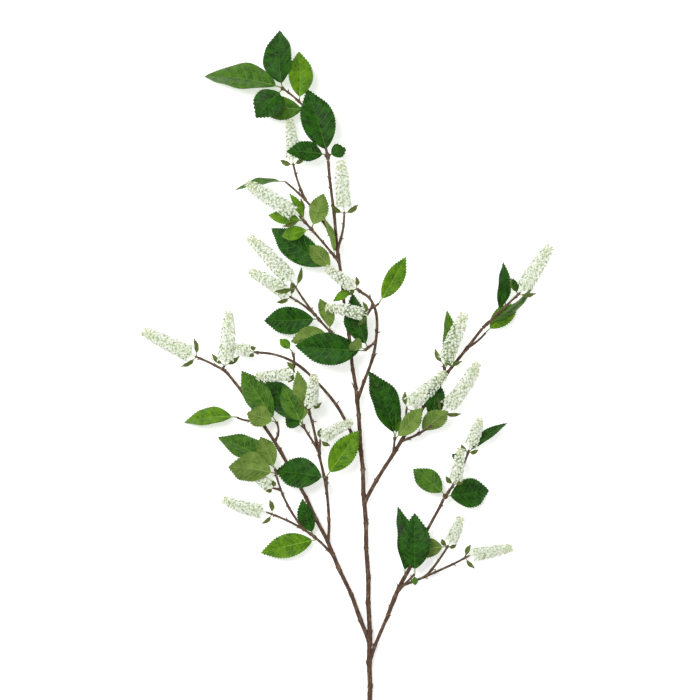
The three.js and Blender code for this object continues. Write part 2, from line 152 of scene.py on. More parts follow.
SPRIGS = {
    "crown_sprig": [
        Twig("leader", 1, (-133, 978, 50), (0.5, 30), None, [
            (0.06, -15, 104, 50, 10, 8, "dark"), (0.05, -80, 62, 34, 18, 26, "dark"),
            (0.04, 64, 30, 22, 6, -20, "dark"), (0.62, -85, 86, 36, -16, -20, "mid"),
            (0.74, 3, 78, 37, 4, 16, "bright"), (1, -72, 130, 56, -14.6, 40, "mid"),
            (0.98, -9, 92, 49, 2, -25, "dark"), (0.97, -134, 60, 44, 16, 10, "dark"),
        ]),
    ],
    "high_sprig": [
        Twig("leader", 0.61, (-127, 838, 40), (0.4, 22), None, [(1, -88, 78, 26, -4, 66, "mid")]),
        Twig(0, 0.74, (-115, 867, 31), (0.5, -4), ("crown_spike", -5, 60, 2)),
    ],
    "upper_left_sprig": [
        Twig("leader", 0.58, (-106, 786, 62), (0.5, 2), ("upper_left_spike", -58, 86, 2), [
            (0.84, -20, 50, 15, 20, 40, "bright"), (0.7, 22, 60, 28, 12, 170, "mid"),
            (0.86, -76, 66, 20, -20, 10, "bright"), (0.7, -102, 54, 20, -15, 0, "bright"),
            (0.12, -6, 66, 20, 12, 120, "dark"),
        ]),
    ],
    "upper_right_sprig": [
        Twig("leader", 0.64, (-38, 793, 50), (0.5, 6), ("upper_right_spike", -3, 70, 2)),
    ],
    "neck_sprig": [
        Twig("leader", 0.5, (-58, 708, 50), (0.5, 0), None, [
            (1, -59, 122, 43, -8.7, -10, "dark"), (0.8, -42, 62, 24, 24, 175, "mid"),
        ]),
    ],
    "twin_spike_sprig": [
        Twig("leader", 0.19, (-115, 686, 52), (0.5, -12), ("long_twin_spike", -44, 90, 6), [
            (0.5, -93, 92, 41, -14, -6, "dark"), (0.3, -10, 62, 24, 22, 150, "mid"),
            (0.3, -102, 62, 30, -3, 170, "dark"),
        ]),
        Twig(0, 0.55, (-121, 666, 38), (0.5, 3), ("short_twin_spike", -58, 66, -6)),
    ],
    "hook_leaf_sprig": [
        Twig("hook_bough", 0.38, (-8, 584, 60), (0.5, 0), None, [
            (1, -88, 106, 47, 6.5, -8, "dark"), (0.9, -62, 38, 21, 34, 170, "mid"),
            (0.7, -24, 88, 43, -3, -38, "dark"),
        ]),
    ],
    "hook_tip_sprig": [
        Twig("hook_bough", 1, (-20, 677, 70), (0.5, 0), ("hook_tip_spike", -55, 50, 8), [
            (0.8, -110, 42, 14, -4, 30, "bright"),
        ]),
    ],
    "hook_side_sprig": [
        Twig("hook_bough", 0.76, (-4, 636, 78), (0.5, 0), ("hook_side_spike", -79, 58, 4)),
        Twig(0, 0.3, (14, 655, 64), (0.5, 2), None, [(1, 33, 82, 27, 4, 12, "bright")]),
    ],
    "arch_tip_sprig": [
        Twig("arching_bough", 1, (-174, 582, 37), (0.5, 0), ("arch_tip_spike", -80, 29, 0)),
    ],
    "arch_side_sprig": [
        Twig("arching_bough", 0.68, (-112, 551, 62), (0.5, 4), ("arch_side_spike", -94, 52, 2)),
        Twig(0, 0.4, (-116, 583, 54), (0.5, 4), None, [(1, -40, 27, 14, 0, 20, "bright")]),
    ],
    "inner_leaf_sprig": [
        Twig("inner_bough", 0.8, (-101, 474, 50), (0.5, 0), None, [
            (0.95, -27, 68, 30, 6, 0, "mid"), (1, -39, 98, 38, -14, 0, "dark"),
            (0.9, -64, 36, 22, -18, 0, "dark"), (0.97, 0, 86, 26, 2, 160, "mid"),
        ]),
    ],
    "inner_tip_sprig": [
        Twig("inner_bough", 1, (-90, 498, 62), (0.5, 0), ("inner_tip_spike", 8, 58, 36)),
    ],
    "inner_side_sprig": [
        Twig("inner_bough", 0.78, (-74, 452, 44), (0.5, 0), ("inner_side_spike", 62, 50, 6)),
    ],
    "inner_pair_sprig": [
        Twig("inner_bough", 0.52, (-64, 396, 46), (0.5, 0), None, [
            (0.9, -79, 82, 46, -2, 16, "dark"), (1, 35, 84, 36, 8, 0, "bright"),
        ]),
    ],
    "far_left_sprig": [
        Twig("left_bough", 0.78, (-200, 484, 22), (0.5, -9), None, [
            (1, -87, 85, 36, -5.5, 42, "bright"),
        ]),
    ],
    "left_pair_sprig": [
        Twig("left_bough", 0.68, (-140, 478, 44), (0.5, 10), None, [
            (1, -36, 96, 39, -4, -6, "mid"), (0.95, -70, 50, 32, 12, 172, "mid"),
        ]),
    ],
    "low_left_sprig": [
        Twig("left_bough", 0.25, (-157, 341, 18), (0.4, 22), ("low_left_spike", -74, 62, -3), [
            (0.42, -22, 60, 28, 16, -30, "dark"), (0.36, -101, 89, 35, 7.2, 14, "bright"),
        ]),
        Twig(0, 0.55, (-142, 408, 38), (0.5, -14), None, [
            (1, -54, 106, 48, -12.8, 44, "mid"), (0.97, -21, 64, 26, 14, 175, "bright"),
            (0.92, -76, 76, 50, 10, 152, "bright"),
        ]),
        Twig(1, 0.68, (-146, 377, 24), (0.5, 0), ("hidden_spike", -52, 34, -10)),
    ],
    "left_tip_sprig": [
        Twig("left_bough", 1, (-264, 576, 18), (0.5, 2), ("left_tip_spike", -64, 82, -3)),
        Twig(0, 0.12, (-217, 562, 38), (0.5, 0), ("left_fork_spike", 4, 76, 4)),
    ],
    "right_low_sprig": [
        Twig("right_bough", 0.27, (38, 455, 46), (0.5, 0), None, [
            (1, -13.5, 107, 50, 14, 40, "dark"), (0.85, 44, 70, 26, 14, 165, "mid"),
            (0.95, 16, 44, 15, 10, 50, "mid"),
        ]),
    ],
    "right_fork_sprig": [
        Twig("right_bough", 0.34, (113, 495, 40), (0.5, 14), ("right_fork_spike", 35, 82, -6), [
            (0.35, 47, 62, 30, 16, -160, "mid"), (0.62, 11, 74, 29, 10.5, 20, "dark"),
        ]),
    ],
    "right_inner_sprig": [
        Twig("right_bough", 0.42, (56, 500, 48), (0.5, -6), ("right_inner_spike", 48, 72, 3)),
    ],
    "right_mid_sprig": [
        Twig("right_bough", 0.72, (111, 564, 52), (0.5, -2), ("right_mid_spike", 22, 78, 8), [
            (0.3, 11, 96, 32, -4, 48, "bright"),
        ]),
    ],
    "right_tip_sprig": [
        Twig("right_bough", 1, (227, 672, 36), (0.5, 0), ("right_tip_spike", 33, 78, -6), [
            (0.4, 16, 80, 26, 4, 40, "dark"), (0.92, -12, 26, 11, 10, 30, "dark"),
            (0.1, 63, 94, 26, -8, 66, "mid"),
        ]),
    ],
    "right_side_sprig": [
        Twig("right_bough", 0.88, (176, 612, 20), (0.5, 4), None, [
            (1, 46, 68, 27, -1.7, -8, "bright"),
        ]),
    ],
    "low_right_back_sprig": [
        Twig("low_right_bough", 0.37, (53, 246, 20), (0.5, -4), None, [
            (1, 5.5, 106, 40, 0.2, 44, "dark"),
        ]),
    ],
    "low_right_front_sprig": [
        Twig("low_right_bough", 0.53, (68, 249, 40), (0.5, 0), None, [
            (1, 0, 92, 46, 10, 0, "dark"), (0.98, 176, 18, 9, -8, 0, "mid"),
        ]),
    ],
    "low_right_fork_sprig": [
        Twig("low_right_bough", 0.555, (152, 275, 14), (0.5, 4), ("low_right_spike", 80, 60, -2)),
        Twig(0, 0.36, (119, 292, 30), (0.5, 3), ("low_fork_spike", 23, 42, 14), [
            (0.95, -94, 52, 30, -8, 160, "mid"),
        ]),
    ],
    "low_right_tip_sprig": [
        Twig("low_right_bough", 1, (150, 436, 26), (0.5, 8), ("low_tip_spike", 19, 46, 18), [
            (0.06, -49, 68, 33, -10, 10, "mid"), (0.04, 82, 74, 43, -6.5, -6, "dark"),
            (0.92, 43, 78, 20, -4, -50, "dark"), (0.7, -40, 28, 11, -20, 20, "dark"),
        ]),
        Twig(0, 0.12, (127, 384, 46), (0.5, 0), ("low_inner_spike", 10, 50, 6)),
    ],
}

# What the looks add to the source. A pair is the lowest and highest that chance may give, or a
# start and an end, unless its comment says otherwise.
LIMB_SIDES = 20
LIMB_RING_SPACING = 1.5
TWIG_SIDES = 10
TWIG_RING_SPACING = 2
RING_STEP = 4
LENGTH_SAMPLES = 65
SHARE_SAMPLES = 129
BARK_DEPTH = 0.45
TWIG_BARK = 1.55
BARK_VARIETY = 40
BLUNT_TIP = 0.03

# Reliefs of the bark: how deep, how fast it changes across and along, and its own offset.
GRAIN = (0.13, 1.5, 0.3, 0)
FLUTES = (0.09, 3.6, 0.07, 9)

# Swellings: how much thicker the bark is there, as a share, and how far that reaches. A node is
# the swelling that a bud grows from.
NODE_SWELLING = (0.2, 2.6)
FORK_SWELLING = (0.16, 5.2)
COLLAR_SWELLING = (0.28, 7)
TWIG_FOOT_SWELLING = (0.5, 4)
TWIG_LEAF_SWELLING = (0.45, 2.2)
SPUR_SWELLING = (0.28, 1.8)

NODE_SPACING = (36, 56)
FIRST_NODE = 0.7
NODE_CLEARANCE = 12
ZIGZAG = (0.5, 1)
BUD_LENGTH = 2.7
BUD_RADIUS = 1.4
BUD_SIZES = (0.75, 1.15)
BUD_TURN = 60
BUD_LEAN = (0.6, 1.1)
BUD_SEAT = 0.7
BUD_MIDDLE = 0.35
BUD_TAPER = 0.45
BUD_SINK = 0.2
BUD_GRAIN = 2

# Short bare stubs of twigs: the bow, the radii of foot and tip, the sides and the ring spacing.
# Spurs are set by chance, and the others by limb, place along it, heading and length.
SPUR = (0.3, (1.1, 0.6), 6, 2)
SPUR_LENGTH = (2.5, 6)
SPUR_SHARE = 0.4
SPUR_START = (10, 20)
SPUR_SPACING = (16, 30)
SPUR_CLEARANCE = 8
SPUR_TURN = 50
SPUR_LEAN = (0.6, 1.2)
STUB = (0.6, (1.15, 0.75), 8, 1.5)
STUB_PITCH = 8
STUBS = [
    ("main_stem", 0.985, -22, 18), ("hook_bough", 0.93, -75, 6), ("hook_bough", 0.6, 70, 4),
    ("inner_bough", 0.93, 82, 5), ("leader", 0.86, -30, 7), ("right_bough", 0.53, -35, 5),
    ("arching_bough", 0.36, 40, 5), ("left_bough", 0.5, -110, 5),
]

WIRE_SIDES = 12
WIRE_RADIUS = 1.1
WIRE_DEPTH = 3
WIRE_CHAMFER = 0.8
CUT_PROUD = 0.4

BLADE_COLUMNS = 8
BLADE_THICKNESS = 0.5
BLADE_THINNING = 0.5
BLADE_EDGE = 0.99
BLADE_PINCH = 0.34
PINCH_START = 0.65
CROWN = 0.2
QUILT = 0.035
QUILT_START = (0.02, 0.3)
WAVE = 0.07
WAVE_SIZES = (0.5, 1.3)
WAVES = 2.1
TWIST = 9
LEAF_SPACING = 200
LEAF_PLACES = 60
TOOTH_PITCH = 4.1
TOOTH_DEPTH = 1.5
TOOTH_LEAN = 0.35
TOOTH_START = (0.05, 0.14)
TOOTH_END = (0.92, 1)
FEWEST_TEETH = 6

RIB_REACH = (-0.02, 0.97)
RIB_POINTS = 21
RIB_SIDES = 6
RIB_RADII = (0.95, 0.35)
VEINS = 7
VEIN_START = 0.05
VEIN_SPAN = 0.8
VEIN_LEAN = 0.2
VEIN_CURVE = 1.25
VEIN_REACH = (0.02, 0.93)
VEIN_POINTS = 7
VEIN_SIDES = 4
VEIN_RADII = (0.5, 0.3)
STALK_POINTS = 7
STALK_SIDES = 6
STALK_SUNK = 0.01
STALK_OVERLAP = 1.08
STALK_RADII = (1.3, 0.95)
STALK_GRAIN = 10

# What narrow leaves have less of: the width below which it shrinks, and the least of it.
SMALL_TEETH = (26, 0)
SMALL_RIB = (30, 0.45)
SMALL_VEINS = (30, 0.6)
SMALL_STALK = (24, 0.6)

# The head of a blossom. Its height, the length and middle of a petal and the place of the heart
# are shares of the head's length, and PETAL_WIDTH is how wide and how deep a petal is.
HEAD_LENGTH = 3.9
HEAD_HEIGHT = 0.56
PETALS = 5
PETAL_OPENING = 52
PETAL_WIDTH = (2.0, 1.7)
PETAL_LENGTH = 0.78
PETAL_MIDDLE = 0.36
HEART_RADIUS = 0.95
HEART_PLACE = 0.28

# How the blossoms stand on a spike, their stalks, and its stem.
FLORETS_PER_MM = 2.5
FLORET_CROWDING = 0.96
FLORET_END = 0.955
FLORET_TURN = 137.5
FLORET_TURN_ERROR = 8
FLORET_LEAN = (16, 62)
FLORET_LEAN_CURVE = 2.2
FLORET_LEAN_ERROR = 9
FLORET_REACH = 1.22
FLORET_REACHES = (0.88, 1.03)
FLORET_SIZE = 1.06
FLORET_SIZE_LOSS = 0.34
FLORET_SIZES = (0.86, 1.12)
FLORET_CREASE = 80
PEDICEL_SHORTEST = 0.4
PEDICEL_SUNK = 0.4
PEDICEL_RADIUS = 0.34
PEDICEL_GRAIN = 0.3
SPIKE_BOW = 0.045
STEM_POINTS = 17
STEM_SIDES = 8
STEM_REACH = 0.97
STEM_RADII = (1, 0.35)
SPIKE_PARTS = {"base": 0.3, "middle": 0.78, "tip": 1}

# Patterns, in repeats for each metre, and reliefs, in metres.
FIBRE_SCALE = 1500
BLOTCH_SCALE = 190
SPECK_SCALE = 900
BARK_RELIEF = 0.0004
TINT_SCALE = 75
WEAVE_SCALE = 2400
NET_SCALE = 310
LEAF_RELIEF = 0.0003
STREAK_SCALE = 420
STREAK_RELIEF = 0.0001
MOTTLE_SCALE = 900
MOTTLE_RELIEF = 0.00015
# How far out from the foot of a blossom its painted shade reaches, in metres.
PETAL_SHADE_DEPTH = 0.0014
SCRATCH_SCALE = 2500
SCRATCH_RELIEF = 0.00005

# The stage, in metres and watts. The camera looks straight down on AIM, a place seen from the cut
# foot, and each lamp has a name, place, size and power.
AIM = (-0.02925, 0.585)
CAMERA_HEIGHT = 4.04
CAMERA_LENS = 137.14
FLOOR_SIZE = 8
FLOOR_CLEARANCE = 0.0004
FLOOR_TONE = 0.93
FLOOR_GLOW = 0.46
WORLD_LIGHT = 0.36
LAMPS = [
    ("overhead", (-0.75, 0.75, 3.4), 0.9, 56),
    ("key", (-1.7, 1.5, 2.6), 1.4, 32),
    ("fill", (1.9, 0.3, 2.4), 1.8, 10),
    ("back", (0.3, -2.0, 2.2), 1.6, 6),
]


def unit(vectors):
    return vectors / np.linalg.norm(vectors, axis=-1, keepdims=True)


def heading(turn, pitch):
    """The way that a heading and a pitch point. Heading 0 is +Y and 90 is +X."""
    turn, pitch = math.radians(turn), math.radians(pitch)
    return np.array([
        math.cos(pitch) * math.sin(turn), math.cos(pitch) * math.cos(turn), math.sin(pitch),
    ])


def upright(ways):
    """The normal of each way that is nearest to straight up, and the side that goes with it."""
    normal = unit(UP - ways * np.expand_dims(ways @ UP, -1))
    return normal, np.cross(ways, normal)


def turned(vector, axis, degrees):
    angle = math.radians(degrees)
    return (
        vector * math.cos(angle)
        + np.cross(axis, vector) * math.sin(angle)
        + axis * (axis @ vector) * (1 - math.cos(angle))
    )


def smoothstep(low, high, value):
    share = np.clip((value - low) / (high - low), 0, 1)
    return share * share * (3 - 2 * share)


class Dice:
    """The source's repeatable random numbers between 0 and 1."""

    WORD = 0xFFFFFFFF

    def __init__(self, state):
        self.state = state

    def roll(self):
        self.state = (self.state + 0x6D2B79F5) & self.WORD
        mixed = ((self.state ^ (self.state >> 15)) * (1 | self.state)) & self.WORD
        stirred = ((mixed ^ (mixed >> 7)) * (61 | mixed)) & self.WORD
        mixed = ((mixed + stirred) ^ mixed) & self.WORD
        return (mixed ^ (mixed >> 14)) / (self.WORD + 1)


class Curve:
    """A curve from foot to tip, drawn to the right by some millimetres part of the way along."""

    def __init__(self, foot, tip, pull):
        where, out = pull
        self.foot = np.array(foot, float)
        self.tip = np.array(tip, float)
        right = unit(np.array([self.tip[1] - self.foot[1], self.foot[0] - self.tip[0], 0.0]))
        self.control = self.foot + (self.tip - self.foot) * where + right * out

    def point(self, share):
        share = np.expand_dims(np.asarray(share, float), -1)
        back = 1 - share
        return back**2 * self.foot + 2 * back * share * self.control + share**2 * self.tip

    def way(self, share):
        share = np.expand_dims(np.asarray(share, float), -1)
        return unit((1 - share) * (self.control - self.foot) + share * (self.tip - self.control))

    def length(self):
        steps = self.point(np.linspace(0, 1, LENGTH_SAMPLES))
        return float(np.linalg.norm(np.diff(steps, axis=0), axis=1).sum())

    def even_shares(self, count):
        """Shares along the curve whose places are evenly spaced."""
        shares = np.linspace(0, 1, SHARE_SAMPLES)
        steps = np.linalg.norm(np.diff(self.point(shares), axis=0), axis=1)
        run = np.concatenate([[0], np.cumsum(steps)])
        return np.interp(np.linspace(0, run[-1], count), run, shares)


class Leaf:
    """A leaf from its root: a stalk that opens into an arched blade, folded along its rib."""

    def __init__(self, sprig, twig, row, dice):
        place, turn, self.length, self.width, pitch, roll, self.tint = row
        self.sprig = sprig
        self.root = twig.point(place)
        self.arch = math.radians(LEAF_ARCH + LEAF_ARCH_SPREAD * (dice.roll() - 0.5))
        self.start = heading(turn, pitch)
        normal, side = upright(self.start)
        self.normal = turned(normal, self.start, roll)
        self.side = turned(side, self.start, roll)
        self.stalk = min(PETIOLE_LENGTH / self.length, PETIOLE_SHARE)
        self.shows_underside = abs(roll) > 90

    def rib(self, along):
        """Places on the rib by their share of the whole leaf, and the way outward there."""
        bent = np.expand_dims(self.arch * np.asarray(along, float), -1)
        onward = self.start * np.sin(bent) / self.arch
        down = self.normal * (1 - np.cos(bent)) / self.arch
        return self.root + self.length * (onward - down), (
            self.normal * np.cos(bent) + self.start * np.sin(bent)
        )

    def shrunk(self, rule):
        """How much a leaf of this width has of what narrow leaves have less of."""
        width, least = rule
        return least + (1 - least) * min(1, self.width / width)


class Spike:
    """A flower spike. In the part it is just clear of its twig, and here its stem joins them."""

    def __init__(self, row, twig):
        self.name, turn, self.length, pitch = row
        self.axis = heading(turn, pitch)
        self.normal, self.side = upright(self.axis)
        self.root = twig.point(1)
        aside = np.linalg.norm(np.cross(twig.way(1), self.axis))
        self.whole = self.length + GAP + TWIG_RADIUS * aside

    def bend(self, chance):
        self.bow = self.side * chance.uniform(-1, 1) * SPIKE_BOW * self.length

    def point(self, share):
        """A place on the stem by its share from the end of the twig to the tip."""
        share = np.expand_dims(np.asarray(share, float), -1)
        straight = self.root + self.axis * self.whole * share
        return straight + self.bow * 4 * share * (1 - share)


def bract_rows(spike, dice):
    """The two bracts of a spike, one on each side of its foot."""
    _, turn, length, pitch = spike
    spreads = [(hand, BRACT_SPREAD + BRACT_SPREAD_MORE * dice.roll()) for hand in (-1, 1)]
    return [
        (
            BRACT_PLACE, turn + hand * spread, length * BRACT_SHARE, BRACT_WIDTH,
            pitch * BRACT_PITCH, hand * BRACT_ROLL, "bract",
        )
        for hand, spread in spreads
    ]


def grow():
    """Every limb, twig, leaf and spike, with the random numbers drawn in the source's order."""
    dice = Dice(SEED)
    limbs, twigs, leaves, spikes = {}, [], [], []
    for name, row in LIMBS.items():
        foot = limbs[row.on].point(row.at) if row.on else STEM_FOOT
        limbs[name] = Curve(foot, row.tip, row.pull)
    for sprig, rows in SPRIGS.items():
        curves = []
        for row in rows:
            carrier = limbs[row.on] if row.on in limbs else curves[row.on]
            curve = Curve(carrier.point(row.at), row.tip, row.pull)
            curves.append(curve)
            twigs.append((sprig, curve, [leaf[0] for leaf in row.leaves]))
            leaves += [Leaf(sprig, curve, leaf, dice) for leaf in row.leaves]
            if row.spike:
                bracts = bract_rows(row.spike, dice)
                leaves += [Leaf(sprig, curve, bract, dice) for bract in bracts]
                spikes.append(Spike(row.spike, curve))
    return limbs, twigs, leaves, spikes


# Shapes that are modelled once and laid many times.


def deselect():
    bpy.ops.object.select_all(action="DESELECT")


class Blank:
    """A modelled shape as arrays of points, faces and material slots. The object itself goes."""

    def __init__(self, thing):
        mesh = thing.data
        self.points = np.array([v.co for v in mesh.vertices])
        self.faces = [tuple(p.vertices) for p in mesh.polygons]
        self.slots = [p.material_index for p in mesh.polygons]
        bpy.data.objects.remove(thing)


@cache
def rod_blank(sides, rings):
    """A closed rod of radius 1 from z 0 to 1, whose long edges are cut into even rings."""
    deselect()
    bpy.ops.mesh.primitive_cylinder_add(
        vertices=sides, radius=1, depth=1, end_fill_type="TRIFAN", location=(0, 0, 0.5)
    )
    bpy.ops.object.mode_set(mode="EDIT")
    bpy.ops.mesh.select_mode(type="EDGE")
    bpy.ops.mesh.select_all(action="DESELECT")
    bpy.ops.object.mode_set(mode="OBJECT")
    mesh = bpy.context.object.data
    for edge in mesh.edges:
        foot, head = (mesh.vertices[i].co.z for i in edge.vertices)
        edge.select = foot != head
    bpy.ops.object.mode_set(mode="EDIT")
    bpy.ops.mesh.subdivide_edgering(number_cuts=rings - 1, interpolation="LINEAR", smoothness=0)
    bpy.ops.object.mode_set(mode="OBJECT")
    bpy.ops.object.transform_apply(location=True)
    return Blank(bpy.context.object)


@cache
def blade_blank(teeth):
    """A flat leaf blade: x is across from -1 to 1, y along from 0 to 1, and z its two faces."""
    deselect()
    bpy.ops.mesh.primitive_grid_add(
        x_subdivisions=BLADE_COLUMNS, y_subdivisions=2 * teeth, size=2
    )
    sheet = bpy.context.object
    sheet.scale = (1, 0.5, 1)
    sheet.location = (0, 0.5, 0)
    bpy.ops.object.transform_apply(location=True, scale=True)
    for material in (leaf_paints["dark"], underside_paint):
        sheet.data.materials.append(material)
    thickness = sheet.modifiers.new("thickness", "SOLIDIFY")
    thickness.thickness = 2
    thickness.offset = 0
    thickness.material_offset = 1
    bpy.ops.object.modifier_apply(modifier="thickness")
    return Blank(sheet)


def floret_blank():
    """An open blossom of narrow petals round a small heart, in millimetres, along +z."""
    deselect()
    petals = []
    for number in range(PETALS):
        bpy.ops.mesh.primitive_uv_sphere_add(segments=4, ring_count=3, radius=0.5)
        petal = bpy.context.object
        petal.scale = (*PETAL_WIDTH, HEAD_LENGTH * PETAL_LENGTH)
        bpy.ops.object.transform_apply(scale=True)
        petal.location = (0, 0, HEAD_LENGTH * PETAL_MIDDLE)
        bpy.ops.object.transform_apply(location=True)
        petal.rotation_euler = (0, math.radians(PETAL_OPENING), 2 * math.pi * number / PETALS)
        bpy.ops.object.transform_apply(rotation=True)
        petals.append(petal)
    bpy.ops.mesh.primitive_uv_sphere_add(segments=5, ring_count=3, radius=HEART_RADIUS)
    heart = bpy.context.object
    heart.location = (0, 0, HEAD_LENGTH * HEART_PLACE)
    bpy.ops.object.transform_apply(location=True)
    for petal in petals:
        petal.select_set(True)
    bpy.ops.object.join()
    return Blank(heart)


def bud_blank():
    """A small pointed bud along +z from a blunt foot, 1 long and 1 in radius."""
    deselect()
    bpy.ops.mesh.primitive_uv_sphere_add(
        segments=8, ring_count=6, radius=1, location=(0, 0, BUD_MIDDLE)
    )
    bpy.ops.object.transform_apply(location=True)
    bud = bpy.context.object
    for vertex in bud.data.vertices:
        rise = (vertex.co.z + 1 - BUD_MIDDLE) / 2
        vertex.co.x *= 1 - BUD_TAPER * rise
        vertex.co.y *= 1 - BUD_TAPER * rise
        vertex.co.z = rise * (1 + BUD_SINK) - BUD_SINK
    return Blank(bud)


class Pile:
    """Copies of blanks that together become one piece, and the CAD nodes that it stands for."""

    def __init__(self):
        self.points, self.faces, self.slots, self.grain = [], [], [], []
        self.nodes = set()
        self.count = 0

    def add(self, blank, points, grain, slot=None):
        """Adds a copy with its vertices at points, in the blank's slots or all in one slot."""
        self.faces += [tuple(i + self.count for i in face) for face in blank.faces]
        self.slots += blank.slots if slot is None else [slot] * len(blank.faces)
        self.points.append(points)
        self.grain.append(grain)
        self.count += len(points)

    def lay(self, name, paints, slot, crease=50):
        """Makes the piece, with its place in its mesh, and lets it stand for its nodes."""
        mesh = bpy.data.meshes.new(name)
        places = np.concatenate(self.points) * MM + SHIFT
        mesh.from_pydata(places.tolist(), [], self.faces)
        grain = np.concatenate(self.grain) * MM
        attribute = mesh.attributes.new("grain", "FLOAT_VECTOR", "POINT")
        attribute.data.foreach_set("vector", grain.astype(np.float32).ravel())
        for paint in paints:
            mesh.materials.append(paint)
        mesh.polygons.foreach_set("material_index", self.slots)
        thing = bpy.data.objects.new(name, mesh)
        bpy.context.scene.collection.objects.link(thing)
        deselect()
        thing.select_set(True)
        bpy.context.view_layer.objects.active = thing
        bpy.ops.object.shade_smooth_by_angle(angle=math.radians(crease))
        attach(thing, "root")
        if self.nodes:
            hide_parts(*sorted(self.nodes))


def swept(blank, places, normals, radii):
    """The points of a rod blank laid along places, with its radius at each ring or each point."""
    rings = np.rint(blank.points[:, 2] * (len(places) - 1)).astype(int)
    ways = unit(np.gradient(places, axis=0))
    beside = unit(np.cross(normals, ways))
    above = np.cross(ways, beside)
    if len(radii) == len(places):
        radii = radii[rings]
    across = beside[rings] * (blank.points[:, 0] * radii)[:, None]
    upward = above[rings] * (blank.points[:, 1] * radii)[:, None]
    return places[rings] + across + upward


def pointing(blank, foot, way, length, radius, turn=0.0):
    """The points of a blank that is modelled along +z, set on a foot and pointed along a way."""
    normal = unit(np.cross(way, EAST)) if abs(way[0]) < 0.9 else upright(way)[0]
    normal = turned(normal, way, turn)
    x, y, z = blank.points.T
    return (
        foot
        + np.cross(normal, way) * (x * radius)[:, None]
        + normal * (y * radius)[:, None]
        + way * (z * length)[:, None]
    )


# Finishes.


class Wire:
    """A socket that takes part in sums, each of which becomes a Math node."""

    def __init__(self, paint, socket):
        self.paint, self.socket = paint, socket

    def sum(self, operation, *values):
        return self.paint.node("ShaderNodeMath", {"operation": operation}, dict(enumerate(values)))

    def __add__(self, other):
        return self.sum("ADD", self, other)

    def __rsub__(self, other):
        return self.sum("SUBTRACT", other, self)

    def __mul__(self, other):
        return self.sum("MULTIPLY", self, other)

    def between(self, low, high):
        """0 up to low, 1 from high on, and smooth from one to the other."""
        settings = {"interpolation_type": "SMOOTHSTEP"}
        return self.paint.node("ShaderNodeMapRange", settings, {"Value": self, 1: low, 2: high})


class Paint:
    """A material in the making, whose nodes are added one by one."""

    def __init__(self, name, **fixed):
        self.material = bpy.data.materials.new(name)
        self.material.use_nodes = True
        self.tree = self.material.node_tree
        self.shader = self.tree.nodes["Principled BSDF"]
        for socket, value in fixed.items():
            self.shader.inputs[socket.replace("_", " ")].default_value = value

    def node(self, kind, settings=None, values=None, output=0):
        node = self.tree.nodes.new(kind)
        for setting, value in (settings or {}).items():
            setattr(node, setting, value)
        for socket, value in (values or {}).items():
            if isinstance(value, Wire):
                self.tree.links.new(value.socket, node.inputs[socket])
            else:
                node.inputs[socket].default_value = value
        return Wire(self, node.outputs[output])

    def feed(self, socket, wire):
        self.tree.links.new(wire.socket, self.shader.inputs[socket])

    def grain(self, stretch=(1, 1, 1)):
        """The place in the piece's own grain, in metres, stretched."""
        place = self.node("ShaderNodeAttribute", {"attribute_name": "grain"}, output=1)
        settings = {"operation": "MULTIPLY"}
        return self.node("ShaderNodeVectorMath", settings, {0: place, 1: stretch})

    def height(self, vector):
        """The third number of a vector."""
        return self.node("ShaderNodeSeparateXYZ", {}, {0: vector}, output=2)

    def clouds(self, vector, scale, detail=3, roughness=0.55):
        values = {"Vector": vector, "Scale": scale, "Detail": detail, "Roughness": roughness}
        return self.node("ShaderNodeTexNoise", {}, values)

    def cells(self, vector, scale):
        """How far a place is from the edge of its cell."""
        settings = {"feature": "DISTANCE_TO_EDGE"}
        return self.node("ShaderNodeTexVoronoi", settings, {"Vector": vector, "Scale": scale})

    def blend(self, factor, first, second):
        """Goes from the first colour to the second with the factor. Each is a wire or a screen
        colour of 0 to 255."""
        ends = [end if isinstance(end, Wire) else linear(end) for end in (first, second)]
        values = {0: factor, 6: ends[0], 7: ends[1]}
        return self.node("ShaderNodeMix", {"data_type": "RGBA"}, values, output=2)

    def bumps(self, height, distance):
        values = {"Height": height, "Distance": distance}
        self.feed("Normal", self.node("ShaderNodeBump", {}, values))


def linear(screen_colour):
    """A screen colour of 0 to 255 as a linear one."""
    shares = [value / 255 for value in screen_colour]
    return (*[x / 12.92 if x <= 0.04045 else ((x + 0.055) / 1.055) ** 2.4 for x in shares], 1)


def bark_paint(name, dark, usual, light):
    """Matte brown bark: fibres along the limb, and lighter blotches here and there."""
    paint = Paint(name, Specular_IOR_Level=0.3)
    fibres = paint.clouds(paint.grain((1, 1, 0.16)), FIBRE_SCALE, detail=4)
    blotches = paint.clouds(paint.grain((1, 1, 0.5)), BLOTCH_SCALE)
    specks = paint.clouds(paint.grain(), SPECK_SCALE, detail=2)
    tone = paint.blend(fibres.between(0.36, 0.66), dark, usual)
    tone = paint.blend(blotches.between(0.5, 0.72) * 0.7, tone, light)
    paint.feed("Base Color", paint.blend(specks.between(0.62, 0.74) * 0.35, tone, dark))
    paint.feed("Roughness", fibres * -0.25 + 0.86)
    paint.bumps(fibres * 0.7 + specks * 0.3, BARK_RELIEF)
    return paint.material


